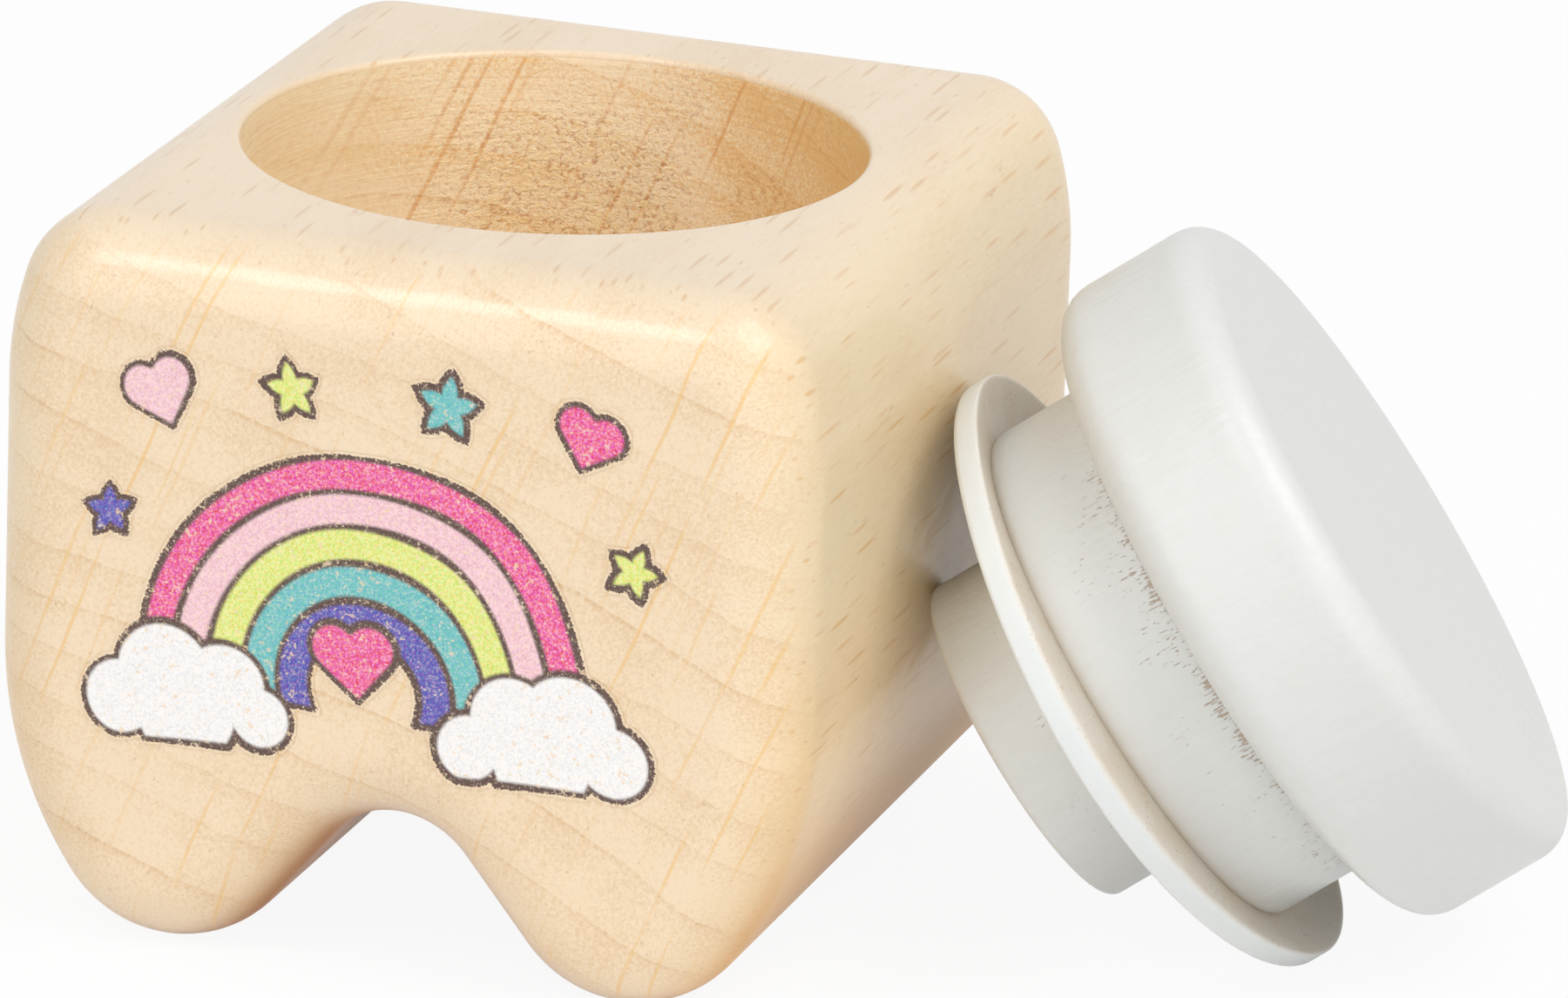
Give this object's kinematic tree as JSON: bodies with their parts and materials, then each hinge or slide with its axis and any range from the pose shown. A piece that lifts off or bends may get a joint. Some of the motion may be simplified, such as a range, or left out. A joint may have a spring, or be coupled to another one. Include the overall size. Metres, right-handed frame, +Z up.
{
  "type": "tooth keepsake box",
  "caption": "Wooden keepsake box in the shape of a molar with a round chamber bored from the top, and a turned white stopper with a soft sealing ring leaning beside it.",
  "frame": {"origin": "on the standing plane, under the axis of the chamber", "axes": "+Z up along the chamber axis, -Y out of the printed front face, +X towards the side that the lid leans on"},
  "size_m": [0.0833, 0.0526, 0.0413],
  "materials": {
    "beech": "clear satin lacquer over beech, raw wood inside the chamber",
    "white_lacquer": "white satin lacquer over turned wood",
    "silicone": "matt, milky and slightly translucent",
    "print_ink": "inks of a small print on the front face, thin and grainy"
  },
  "bodies": {
    "box": {"tooth_body": "beech"},
    "lid": {"lid_stopper": "white_lacquer", "sealing_ring": "silicone"}
  },
  "joints": [
    {"name": "lid_lift", "type": "slide", "parent": "box", "child": "lid", "axis": [0, 0, 1], "range_m": [0, 0.05]}
  ]
}
